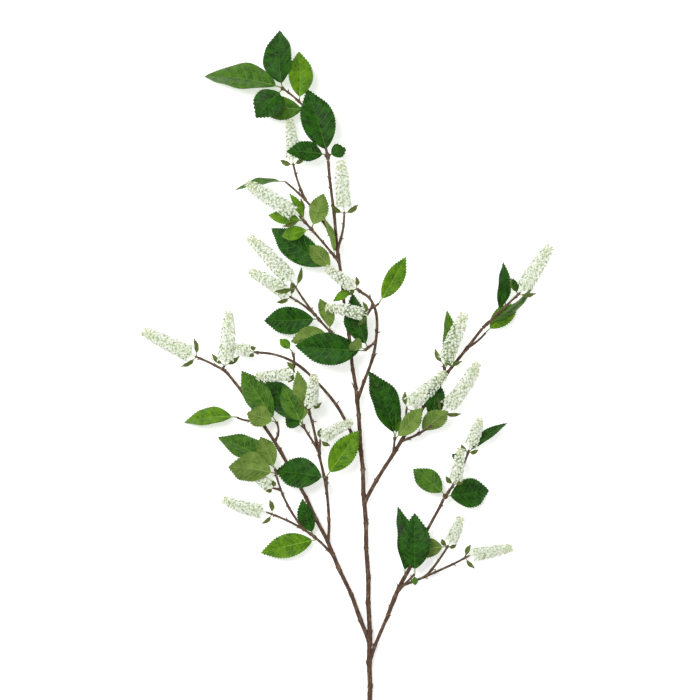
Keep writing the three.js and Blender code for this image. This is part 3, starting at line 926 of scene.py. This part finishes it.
def leaf_paint(name, shade, usual, vein, gloss=0.3, net=0.3):
    """A printed cloth leaf: side veins and a fine net over soft blotches, with a light gloss, and
    painted shade in the quilted grooves beside the side veins.
    """
    paint = Paint(name, Specular_IOR_Level=0.14)
    flat = paint.grain((1, 1, 0))
    count = paint.height(paint.grain()) * 1000
    aside = count.sum("PINGPONG", count, 0.5)
    blotches = paint.clouds(flat, TINT_SCALE, roughness=0.6)
    weave = paint.clouds(flat, WEAVE_SCALE, detail=1)
    edge = paint.cells(flat, NET_SCALE)
    tone = paint.blend(blotches.between(0.36, 0.64), shade, usual)
    tone = paint.blend((1 - edge.between(0.02, 0.13)) * net, tone, vein)
    # Painted shade: a darker band along each side vein, in the groove that the quilting dips into
    # there.
    tone = paint.blend(aside.between(0.08, 0.2) * -0.25 + 0.25, tone, shade)
    paint.feed("Base Color", paint.blend(0.6 - aside.between(0.02, 0.07) * 0.6, tone, vein))
    paint.feed("Roughness", blotches * 0.2 + gloss)
    paint.bumps(edge.between(0.0, 0.16) * 0.75 + weave * 0.25, LEAF_RELIEF)
    return paint.material


def rib_paint(name, shade, usual):
    """The printed veins and soft green stalks, a little darker in places."""
    paint = Paint(name, Specular_IOR_Level=0.25)
    streaks = paint.clouds(paint.grain((1, 0.3, 0.3)), STREAK_SCALE)
    paint.feed("Base Color", paint.blend(streaks.between(0.3, 0.7), shade, usual))
    paint.feed("Roughness", streaks * 0.15 + 0.5)
    paint.bumps(streaks, STREAK_RELIEF)
    return paint.material


def blossom_paint(name, shade, usual):
    """Soft plastic blossom, with painted shade that darkens it towards the foot of its petals."""
    paint = Paint(name, Specular_IOR_Level=0.3)
    place = paint.grain()
    mottle = paint.clouds(place, MOTTLE_SCALE, detail=2)
    outward = paint.height(place)
    # Painted shade: darker deep in the blossom where the petals meet, lighter at their ends, with a
    # random mottle.
    shade_and_mottle = outward.between(0.0, PETAL_SHADE_DEPTH) * 0.85 + mottle * 0.2
    paint.feed("Base Color", paint.blend(shade_and_mottle, shade, usual))
    paint.feed("Roughness", mottle * 0.2 + 0.45)
    paint.bumps(mottle, MOTTLE_RELIEF)
    return paint.material


def wire_finish():
    """The drawn steel of the cut wire core, with fine scratches."""
    paint = Paint("cut_wire", Metallic=1.0)
    scratches = paint.clouds(paint.grain((1, 0.2, 0.2)), SCRATCH_SCALE)
    paint.feed("Base Color", paint.blend(scratches, (120, 118, 114), (172, 170, 166)))
    paint.feed("Roughness", scratches * 0.3 + 0.3)
    paint.bumps(scratches, SCRATCH_RELIEF)
    return paint.material


bark = bark_paint("brown_bark", (62, 44, 32), (108, 80, 61), (144, 120, 98))
twig_bark = bark_paint("twig_bark", (66, 48, 34), (114, 87, 66), (144, 124, 100))
wire_paint = wire_finish()
stalk_paint = rib_paint("pale_stalk", (92, 104, 52), (126, 144, 76))
spike_stalk_paint = rib_paint("pale_spike_stalk", (214, 228, 190), (234, 242, 216))
underside_paint = leaf_paint(
    "leaf_underside", (92, 122, 46), (124, 152, 68), (142, 168, 88), gloss=0.5, net=0.2
)
underside_vein = rib_paint("underside_vein", (122, 148, 70), (150, 174, 94))
leaf_paints = {
    "dark": leaf_paint("dark_leaf", (5, 44, 0), (30, 87, 0), (78, 128, 42)),
    "mid": leaf_paint("mid_leaf", (34, 80, 4), (70, 116, 20), (116, 152, 62)),
    "bright": leaf_paint("bright_leaf", (48, 98, 0), (92, 138, 4), (140, 178, 50)),
    "bract": leaf_paint("olive_bract", (70, 90, 22), (104, 118, 46), (140, 152, 84)),
}
vein_paints = {
    "dark": rib_paint("dark_leaf_vein", (46, 96, 16), (80, 126, 42)),
    "mid": rib_paint("mid_leaf_vein", (88, 130, 44), (124, 160, 74)),
    "bright": rib_paint("bright_leaf_vein", (112, 158, 34), (148, 188, 72)),
    "bract": rib_paint("bract_vein", (104, 122, 60), (132, 148, 78)),
}
# The first colour of each blossom is the painted shade at the foot of its petals.
blossom_paints = {
    "base": blossom_paint("green_white_blossom", (200, 214, 174), (240, 246, 228)),
    "middle": blossom_paint("white_blossom", (206, 218, 186), (246, 250, 238)),
    "tip": blossom_paint("cream_blossom", (206, 216, 172), (242, 246, 222)),
}


# The limbs and twigs.


class Rod:
    """A limb or twig with bark: its line, how thick it is along it, and its ridges."""

    def __init__(self, curve, radii, sides, spacing, chance):
        self.seed = chance.random() * BARK_VARIETY
        self.length = curve.length()
        self.rings = max(RING_STEP, RING_STEP * round(self.length / spacing / RING_STEP))
        self.blank = rod_blank(sides, self.rings)
        self.run = np.linspace(0, self.length, self.rings + 1)
        shares = curve.even_shares(self.rings + 1)
        self.places = curve.point(shares)
        self.ways = curve.way(shares)
        self.normals, self.besides = upright(self.ways)
        self.radii = radii[0] + (radii[1] - radii[0]) * self.run / self.length
        self.end_radius = radii[1]

    def swell(self, run, more, reach):
        self.radii = self.radii * (1 + more * np.exp(-(((self.run - run) / reach) ** 2)))

    def sway(self, runs, offsets):
        """Moves the line sideways at some places along it, and not at its ends."""
        offset = np.interp(self.run, [0, *runs, self.length], [0, *offsets, 0])
        self.places = self.places + self.besides * offset[:, None]

    def round_tip(self):
        left = np.clip((self.length - self.run) / self.end_radius, 0, 1)
        self.radii = self.radii * np.sqrt(np.clip(1 - (1 - left) ** 2, BLUNT_TIP, 1))

    def side(self, run, hand=1, turn=0):
        """A place on its line, the way onward and the way out to one hand, and the radius there."""
        ring = int(round(run / self.length * self.rings))
        way = self.ways[ring]
        out = turned(np.cross(way, self.normals[ring]) * hand, way, turn)
        return self.places[ring], way, out, self.radii[ring]

    def lay(self, pile):
        rings = np.rint(self.blank.points[:, 2] * self.rings).astype(int)
        run, radii = self.run[rings], self.radii[rings]
        x, y = self.blank.points[:, 0], self.blank.points[:, 1]
        rough = np.array([
            sum(
                depth * noise.noise((a * across + offset, b * across, s * along + self.seed))
                for depth, across, along, offset in (GRAIN, FLUTES)
            )
            for a, b, s in zip(x, y, run)
        ])
        grain = np.stack([x * radii, y * radii, run + self.seed * 10], axis=1)
        points = swept(self.blank, self.places, self.normals, radii * (1 + rough))
        pile.add(self.blank, points, grain)


def lay_stub(pile, place, way, length, form, chance):
    """A short bare stub of a twig with a blunt point."""
    bow, radii, sides, spacing = form
    stub = Rod(Curve(place, place + way * length, (0.5, bow)), radii, sides, spacing, chance)
    stub.round_tip()
    stub.lay(pile)


def lay_limb(name, curve, chance):
    """A limb with its nodes, buds, forks and any stubs, as one piece."""
    radii = [radius + BARK_DEPTH for radius in LIMBS[name].radii]
    rod = Rod(curve, radii, LIMB_SIDES, LIMB_RING_SPACING, chance)
    pile = Pile()
    nodes, run = [], chance.uniform(*NODE_SPACING) * FIRST_NODE
    while run < rod.length - NODE_CLEARANCE:
        nodes.append(run)
        run += chance.uniform(*NODE_SPACING)
    hands = [1 if i % 2 else -1 for i in range(len(nodes))]
    rod.sway(nodes, [hand * chance.uniform(*ZIGZAG) for hand in hands])
    for run in nodes:
        rod.swell(run, *NODE_SWELLING)
    for row in (*LIMBS.values(), *sum(SPRIGS.values(), [])):
        if row.on == name:
            rod.swell(row.at * rod.length, *FORK_SWELLING)
    if LIMBS[name].on:
        rod.swell(0, *COLLAR_SWELLING)
    rod.round_tip()
    for run, hand in zip(nodes, hands):
        place, way, out, radius = rod.side(run, hand, chance.uniform(-BUD_TURN, BUD_TURN))
        size = chance.uniform(*BUD_SIZES)
        lean = unit(out + way * chance.uniform(*BUD_LEAN))
        seat = place + out * radius * BUD_SEAT
        points = pointing(bud, seat, lean, BUD_LENGTH * size, BUD_RADIUS * size)
        pile.add(bud, points, bud.points * BUD_GRAIN)
        if chance.random() < SPUR_SHARE:
            lay_stub(pile, place, lean, radius + chance.uniform(*SPUR_LENGTH), SPUR, chance)
    for limb, at, turn, length in STUBS:
        if limb == name:
            place, _, _, radius = rod.side(at * rod.length)
            lay_stub(pile, place, heading(turn, STUB_PITCH), length + radius, STUB, chance)
    rod.lay(pile)
    pile.nodes.add(name)
    pile.lay(name + "_bark", [bark], "bark")


def lay_twigs(twigs, chance):
    """All the twigs and their spurs as one piece, swollen where their leaves grow."""
    pile = Pile()
    radii = (TWIG_RADIUS * TWIG_BARK, TWIG_RADIUS * TWIG_TAPER * TWIG_BARK)
    for sprig, curve, beads in twigs:
        rod = Rod(curve, radii, TWIG_SIDES, TWIG_RING_SPACING, chance)
        rod.swell(0, *TWIG_FOOT_SWELLING)
        run, hand = chance.uniform(*SPUR_START), chance.choice((-1, 1))
        while run < rod.length - SPUR_CLEARANCE:
            rod.swell(run, *SPUR_SWELLING)
            turn = chance.uniform(-SPUR_TURN, SPUR_TURN)
            place, way, out, radius = rod.side(run, hand, turn)
            lean = unit(out + way * chance.uniform(*SPUR_LEAN))
            lay_stub(pile, place, lean, radius + chance.uniform(*SPUR_LENGTH), SPUR, chance)
            hand = -hand
            run += chance.uniform(*SPUR_SPACING)
        for bead in beads:
            rod.swell(bead * rod.length, *TWIG_LEAF_SWELLING)
        rod.round_tip()
        rod.lay(pile)
        pile.nodes.add(sprig)
    pile.lay("twigs", [twig_bark], "bark")


def lay_cut(foot, way):
    """The cut foot: the end of the wire core, just proud of the bark."""
    pile = Pile()
    radii = np.array([1, 1, 1, 1, WIRE_CHAMFER]) * WIRE_RADIUS
    blank = rod_blank(WIRE_SIDES, len(radii) - 1)
    places = foot + np.linspace(WIRE_DEPTH, -CUT_PROUD, len(radii))[:, None] * way
    normals, _ = upright(np.broadcast_to(-way, places.shape))
    pile.add(blank, swept(blank, places, normals, radii), blank.points)
    pile.lay("wire_core", [wire_paint], "bark")


# The leaves.


class Blade:
    """The blade of a leaf, with the waves, twist and quilting that the looks give it."""

    def __init__(self, leaf, chance):
        self.leaf = leaf
        self.twist = math.radians(TWIST) * chance.uniform(-1, 1)
        self.phases = chance.random(), chance.random()
        self.wave = WAVE * chance.uniform(*WAVE_SIZES)
        self.length = leaf.length * (1 - leaf.stalk)
        self.place = LEAF_SPACING * chance.randrange(LEAF_PLACES)

    def half(self, along):
        """Half the breadth of the blade by the share along it."""
        full = np.clip(np.sin(np.pi * np.clip(along, 0, 1) ** LEAF_SHOULDER), 0, 1) ** LEAF_FULLNESS
        pinch = 1 - BLADE_PINCH * smoothstep(PINCH_START, 1, along)
        return np.maximum(self.leaf.width / 2 * full * pinch, LEAF_TIP)

    def vein_count(self, across, along):
        """How many side veins lie between a place and the foot of the blade."""
        return (along - VEIN_START - VEIN_LEAN * np.abs(across)**VEIN_CURVE) * VEINS / VEIN_SPAN

    def surface(self, across, along, tooth=0.0):
        """Places in the blade by shares across and along it, and the ways outward and onward."""
        leaf = self.leaf
        whole = leaf.stalk + along * (1 - leaf.stalk)
        place, outward = leaf.rib(whole)
        bent = np.expand_dims(leaf.arch * whole, -1)
        onward = leaf.start * np.cos(bent) - leaf.normal * np.sin(bent)
        half = self.half(along)
        aside = np.abs(across)
        lift = LEAF_FOLD * aside * (half - PETIOLE_RADIUS) + CROWN * half * aside * (1 - aside)
        count = self.vein_count(across, along)
        quilt = (1 - np.cos(2 * np.pi * count)) * smoothstep(*QUILT_START, aside) * (1 - aside**6)
        phase = np.where(across > 0, *self.phases)
        wave = np.sin(2 * np.pi * (WAVES * along + phase)) * aside**3
        lift = lift + half * (QUILT * quilt + self.wave * wave)
        turn = np.expand_dims(self.twist * along, -1)
        side = leaf.side * np.cos(turn) + outward * np.sin(turn)
        outward = outward * np.cos(turn) - leaf.side * np.sin(turn)
        breadth = across * (half + tooth)
        places = place + side * np.expand_dims(breadth, -1) + outward * np.expand_dims(lift, -1)
        return places, outward, onward

    def lay(self, pile):
        """Lays the blade, whose every second row of points stands out as teeth, and its veins."""
        teeth = max(FEWEST_TEETH, round(self.length / TOOTH_PITCH))
        blank = blade_blank(teeth)
        x, y, z = blank.points.T
        rows = np.rint(y * 2 * teeth).astype(int)
        size = smoothstep(*TOOTH_START, y) * (1 - smoothstep(*TOOTH_END, y))
        tooth = self.leaf.shrunk(SMALL_TEETH) * size * (rows % 2) * (np.abs(x) > BLADE_EDGE)
        places, outward, onward = self.surface(x, y, TOOTH_DEPTH * tooth)
        forward = tooth * TOOTH_LEAN * self.length / teeth
        upward = z * BLADE_THICKNESS / 2 * (1 - BLADE_THINNING * y**3)
        places = places + onward * forward[:, None] + outward * upward[:, None]
        grain = [x * self.half(y), y * self.length + self.place, self.vein_count(x, y)]
        pile.add(blank, places, np.stack(grain, axis=1))
        self.lay_veins(pile)

    def lay_vein(self, pile, sides, across, along, radii):
        blank = rod_blank(sides, len(across) - 1)
        places, outward, _ = self.surface(across, along)
        points = swept(blank, places, outward, np.linspace(*radii, len(across)))
        grain = blank.points * (1, 1, self.length) + (0, self.place, 0)
        pile.add(blank, points, grain, 3 if self.leaf.shows_underside else 2)

    def lay_veins(self, pile):
        radii = np.array(RIB_RADII) * self.leaf.shrunk(SMALL_RIB)
        along = np.linspace(*RIB_REACH, RIB_POINTS)
        self.lay_vein(pile, RIB_SIDES, np.zeros(RIB_POINTS), along, radii)
        radii = np.array(VEIN_RADII) * self.leaf.shrunk(SMALL_VEINS)
        across = np.linspace(*VEIN_REACH, VEIN_POINTS)
        for vein in range(VEINS):
            along = VEIN_START + VEIN_SPAN * vein / VEINS + VEIN_LEAN * across**VEIN_CURVE
            for hand in (-1, 1):
                self.lay_vein(pile, VEIN_SIDES, hand * across, along, radii)


def lay_leaves(leaves, chance):
    """The blades in a piece for each tint, and all their stalks in another."""
    stalks = Pile()
    piles = {tint: Pile() for tint in leaf_paints}
    blank = rod_blank(STALK_SIDES, STALK_POINTS - 1)
    for leaf in leaves:
        Blade(leaf, chance).lay(piles[leaf.tint])
        shares = np.linspace(-STALK_SUNK, leaf.stalk * STALK_OVERLAP, STALK_POINTS)
        places, outward = leaf.rib(shares)
        radii = PETIOLE_RADIUS * np.linspace(*STALK_RADII, STALK_POINTS) * leaf.shrunk(SMALL_STALK)
        points = swept(blank, places, outward, radii)
        stalks.add(blank, points, blank.points * (1, 1, STALK_GRAIN))
        for pile in (piles[leaf.tint], stalks):
            pile.nodes.add(leaf.sprig)
    for tint, pile in piles.items():
        paints = [leaf_paints[tint], underside_paint, vein_paints[tint], underside_vein]
        pile.lay("bracts" if tint == "bract" else "leaves_" + tint, paints, "foliage")
    stalks.lay("leaf_stalks", [stalk_paint], "foliage")


# The flower spikes.


def lay_stem(pile, spike):
    """The stem of a spike from the end of its twig."""
    blank = rod_blank(STEM_SIDES, STEM_POINTS - 1)
    places = spike.point(np.linspace(0, STEM_REACH, STEM_POINTS))
    normals = np.broadcast_to(spike.normal, places.shape)
    radii = np.linspace(*STEM_RADII, STEM_POINTS)
    grain = blank.points * (1, 1, spike.length)
    pile.add(blank, swept(blank, places, normals, radii), grain)


def lay_floret(heads, stems, spike, along, turn, chance):
    """A blossom and its stalk, by its share along the spike and its turn round it."""
    turn += chance.uniform(-FLORET_TURN_ERROR, FLORET_TURN_ERROR)
    around = turned(spike.normal, spike.axis, turn)
    lean = FLORET_LEAN[0] + (FLORET_LEAN[1] - FLORET_LEAN[0]) * along**FLORET_LEAN_CURVE
    lean = math.radians(lean + chance.uniform(-FLORET_LEAN_ERROR, FLORET_LEAN_ERROR))
    way = around * math.cos(lean) + spike.axis * math.sin(lean)
    grown = min(max(spike.length / SPIKE_USUAL_LENGTH, SPIKE_SLIMMEST), SPIKE_FULLEST)
    swell = 1 - SPIKE_SLENDER * along - SPIKE_TIP_TAPER * along**4
    size = (FLORET_SIZE - FLORET_SIZE_LOSS * along**3) * chance.uniform(*FLORET_SIZES)
    reach = SPIKE_RADIUS * FLORET_REACH * grown * swell * chance.uniform(*FLORET_REACHES)
    head = HEAD_LENGTH * HEAD_HEIGHT * size
    stalk = max(reach / max(math.cos(lean), 0.5) - head, PEDICEL_SHORTEST)
    run = SPIKE_STALK + (spike.length - SPIKE_STALK) * along * FLORET_END
    root = spike.point(run / spike.whole)
    spin = chance.uniform(0, 360 / PETALS)
    points = pointing(floret, root + way * stalk, way, size, size, spin)
    heads.add(floret, points, floret.points * size)
    blank = rod_blank(3, 1)
    points = pointing(blank, root, way, stalk + head * PEDICEL_SUNK, PEDICEL_RADIUS)
    stems.add(blank, points, blank.points * (PEDICEL_GRAIN, PEDICEL_GRAIN, stalk))


def lay_spikes(spikes, chance):
    """The florets in a piece for each part of a spike, and the stems with all stalks in another."""
    stems = Pile()
    piles = {part: Pile() for part in SPIKE_PARTS}
    for spike in spikes:
        spike.bend(chance)
        lay_stem(stems, spike)
        count = round((spike.length - SPIKE_STALK) * FLORETS_PER_MM)
        turn = chance.uniform(0, 360)
        for number in range(count):
            along = ((number + 0.5) / count) ** FLORET_CROWDING
            turn += FLORET_TURN
            part = next(part for part, end in SPIKE_PARTS.items() if along < end)
            lay_floret(piles[part], stems, spike, along, turn, chance)
        for pile in (stems, *piles.values()):
            pile.nodes.add(spike.name)
    for part, pile in piles.items():
        pile.lay("florets_" + part, [blossom_paints[part]], "blossom", FLORET_CREASE)
    stems.lay("spike_stems", [spike_stalk_paint], "blossom")


# The stage.


def lay_stage(floor_height):
    deselect()
    bpy.ops.mesh.primitive_plane_add(size=FLOOR_SIZE, location=(0, 0, floor_height))
    floor = bpy.context.object
    floor.name = "floor"
    paint = Paint(
        "pale_floor", Base_Color=(*[FLOOR_TONE] * 3, 1), Roughness=0.9, Specular_IOR_Level=0.1,
        Emission_Strength=FLOOR_GLOW,
    )
    floor.data.materials.append(paint.material)
    world = bpy.data.worlds.new("soft_sky")
    world.use_nodes = True
    world.node_tree.nodes["Background"].inputs[0].default_value = (*[WORLD_LIGHT] * 3, 1)
    bpy.context.scene.world = world
    for name, place, size, power in LAMPS:
        bpy.ops.object.light_add(type="AREA", location=place)
        lamp = bpy.context.object
        lamp.name = name
        lamp.data.size = size
        lamp.data.energy = power
        lamp.rotation_euler = (-lamp.location).to_track_quat("-Z", "Y").to_euler()
    place = (SHIFT[0] + AIM[0], SHIFT[1] + AIM[1], CAMERA_HEIGHT)
    bpy.ops.object.camera_add(location=place)
    camera = bpy.context.object
    camera.data.lens = CAMERA_LENS
    bpy.context.scene.camera = camera
    bpy.context.scene.view_settings.view_transform = "Standard"


for thing in list(bpy.data.objects):
    if thing.name in ("Cube", "Light", "Camera"):
        bpy.data.objects.remove(thing)

bud = bud_blank()
floret = floret_blank()
chance = random.Random(7)
limbs, twigs, leaves, spikes = grow()
for name, curve in limbs.items():
    lay_limb(name, curve, chance)
lay_cut(limbs["main_stem"].foot, limbs["main_stem"].way(0))
lay_twigs(twigs, chance)
lay_leaves(leaves, chance)
lay_spikes(spikes, chance)

box = [list(corner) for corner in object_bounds()]
lay_stage(box[0][2] - FLOOR_CLEARANCE)
